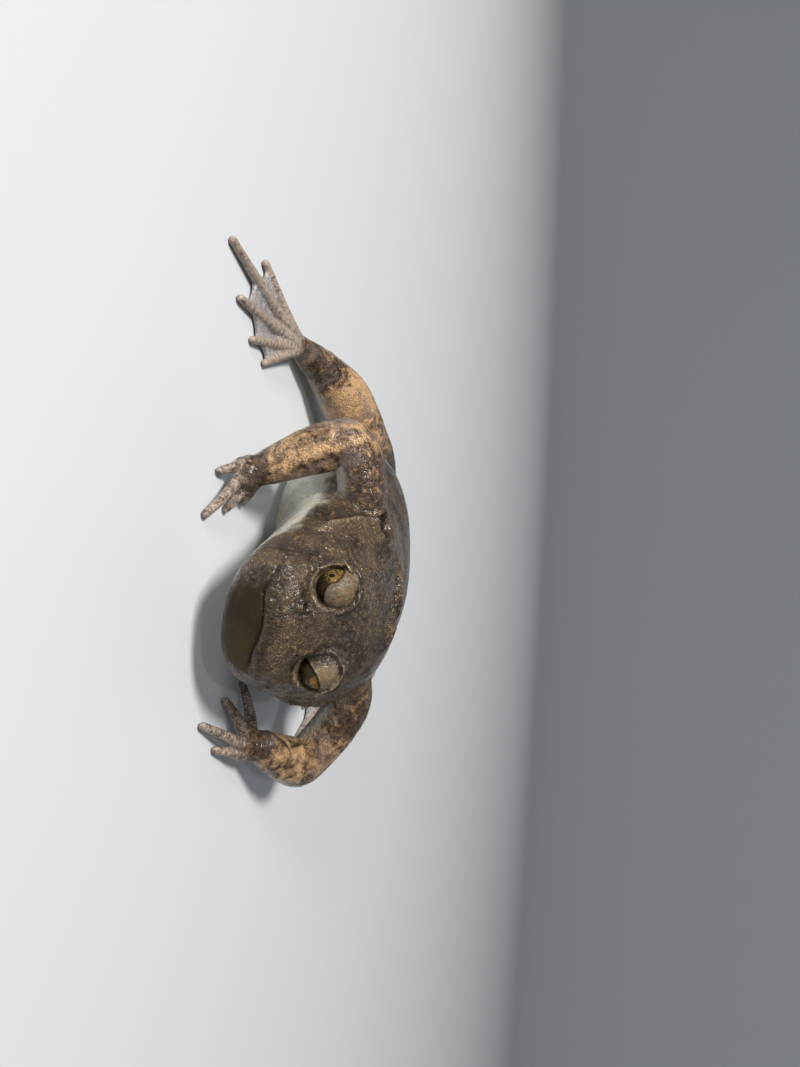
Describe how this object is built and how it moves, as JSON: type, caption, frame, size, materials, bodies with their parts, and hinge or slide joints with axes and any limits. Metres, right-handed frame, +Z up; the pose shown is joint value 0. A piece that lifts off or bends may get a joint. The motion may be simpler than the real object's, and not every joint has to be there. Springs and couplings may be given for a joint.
{
  "type": "blunt-headed burrowing frog model",
  "caption": "Life-size still model of a plump blunt-headed burrowing frog, resting on its belly and hands with one hind leg stretched out, for display.",
  "frame": {"origin": "on the flat underside of the belly, midway between the snout and the vent", "axes": "+Z up, the frog faces -Y, its left side is +X, the ground is z = 0"},
  "size_m": [0.0833, 0.0682, 0.0218],
  "materials": {
    "back_skin": "moist brown-grey skin with fine grain and tan flecks",
    "limb_skin": "moist dark brown skin with golden-tan patches",
    "foot_skin": "moist grey-brown skin with pale cross rings on the digits",
    "eye_surface": "wet glossy eye with a gold-ochre iris"
  },
  "bodies": {
    "root": {"head": "back_skin", "torso": "back_skin", "upper_arm_right": "limb_skin", "upper_arm_left": "limb_skin", "forearm_right": "limb_skin", "forearm_left": "limb_skin", "hand_right": "foot_skin", "hand_left": "foot_skin", "thigh_right": "limb_skin", "thigh_left": "limb_skin", "shank_right": "limb_skin", "shank_left": "limb_skin", "foot_right": "foot_skin", "foot_left": "foot_skin", "eye_right": "eye_surface", "eye_left": "eye_surface"}
  },
  "joints": []
}
